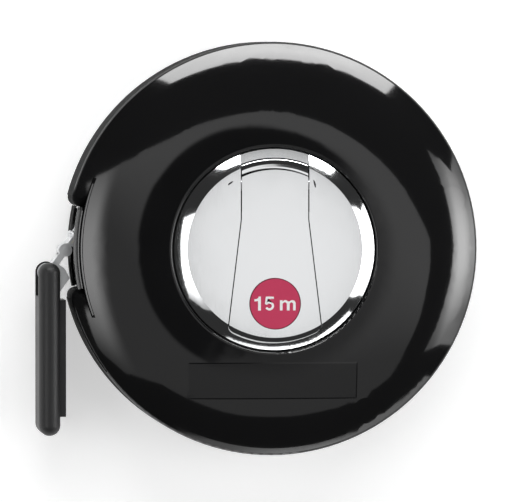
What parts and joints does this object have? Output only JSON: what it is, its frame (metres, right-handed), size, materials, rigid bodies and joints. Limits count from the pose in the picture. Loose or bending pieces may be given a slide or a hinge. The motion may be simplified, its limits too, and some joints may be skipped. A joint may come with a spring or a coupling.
{
  "type": "surveyor tape reel",
  "caption": "Closed-case surveyor tape reel, black crowned round case, chromed winding disc with flush fold-out crank, red length plate, hinged black grip bar at the tape mouth",
  "frame": {"origin": "Where the reel's axis meets the plane that the back rests on, in the middle of the flat pad on the back", "axes": "Z is the reel's axis and points out of the chromed front, the tape mouth faces -X, and Y points away from the grip bar's free end"},
  "size_m": [0.1062, 0.1, 0.0312],
  "materials": {
    "case_black": "polished moulded plastic",
    "drum_black": "plain moulded plastic",
    "grip_black": "moulded plastic with a fine grain",
    "chrome": "polished chrome plate",
    "steel": "plain turned steel",
    "brass": "turned brass",
    "tape_white": "lacquered steel band",
    "plate_red": "red anodised plate"
  },
  "bodies": {
    "case": {"front_shell": "case_black", "rear_shell": "case_black", "case_screws": "steel", "mouth_frame": "case_black", "axle": "steel", "axle_washer": "steel", "axle_screw": "steel", "drag_washer": "brass"},
    "reel": {"drum_hub": "drum_black", "hub_bush": "brass", "front_flange": "steel", "rear_flange": "steel", "wound_tape": "tape_white", "tape_anchor": "steel", "winding_disc": "chrome", "disc_screws": "steel", "flap_pin": "steel", "flap_washers": "steel"},
    "crank": {"crank_flap": "chrome", "length_dot": "plate_red", "knob_rivet": "steel"},
    "knob": {"crank_knob": "drum_black"},
    "tape": {"tape_lead": "tape_white", "tape_ferrule": "chrome", "ferrule_rivets": "chrome"},
    "link": {"end_link": "chrome", "link_pin": "steel"},
    "grip": {"grip_bar": "grip_black", "grip_pin": "steel", "grip_plate": "chrome", "plate_rivets": "chrome"}
  },
  "joints": [
    {"name": "reel_spin", "type": "hinge", "parent": "case", "child": "reel", "pos_m": [0, 0, 0.015], "axis": [0, 0, 1], "range_deg": [0, 64]},
    {"name": "tape_pull", "type": "slide", "parent": "case", "child": "tape", "axis": [-0.5877, -0.8091, 0], "range_m": [0, 0.0447]},
    {"name": "crank_fold", "type": "hinge", "parent": "reel", "child": "crank", "pos_m": [0, 0.0157, 0.0297], "axis": [-1, 0, 0], "range_deg": [0, 162]},
    {"name": "knob_spin", "type": "hinge", "parent": "crank", "child": "knob", "pos_m": [0, -0.013, 0.023], "axis": [0, 0, 1], "continuous": true},
    {"name": "link_swing", "type": "hinge", "parent": "tape", "child": "link", "pos_m": [-0.04958, -0.00032, 0.015], "axis": [0, 0, 1], "range_deg": [-60, 0]},
    {"name": "grip_swing", "type": "hinge", "parent": "link", "child": "grip", "pos_m": [-0.05363, -0.0059, 0.015], "axis": [0, 0, 1], "range_deg": [-130, 0]}
  ],
  "couplings": [
    {"joint": "tape_pull", "follows": "reel_spin", "m_per_rad": 0.039925}
  ]
}
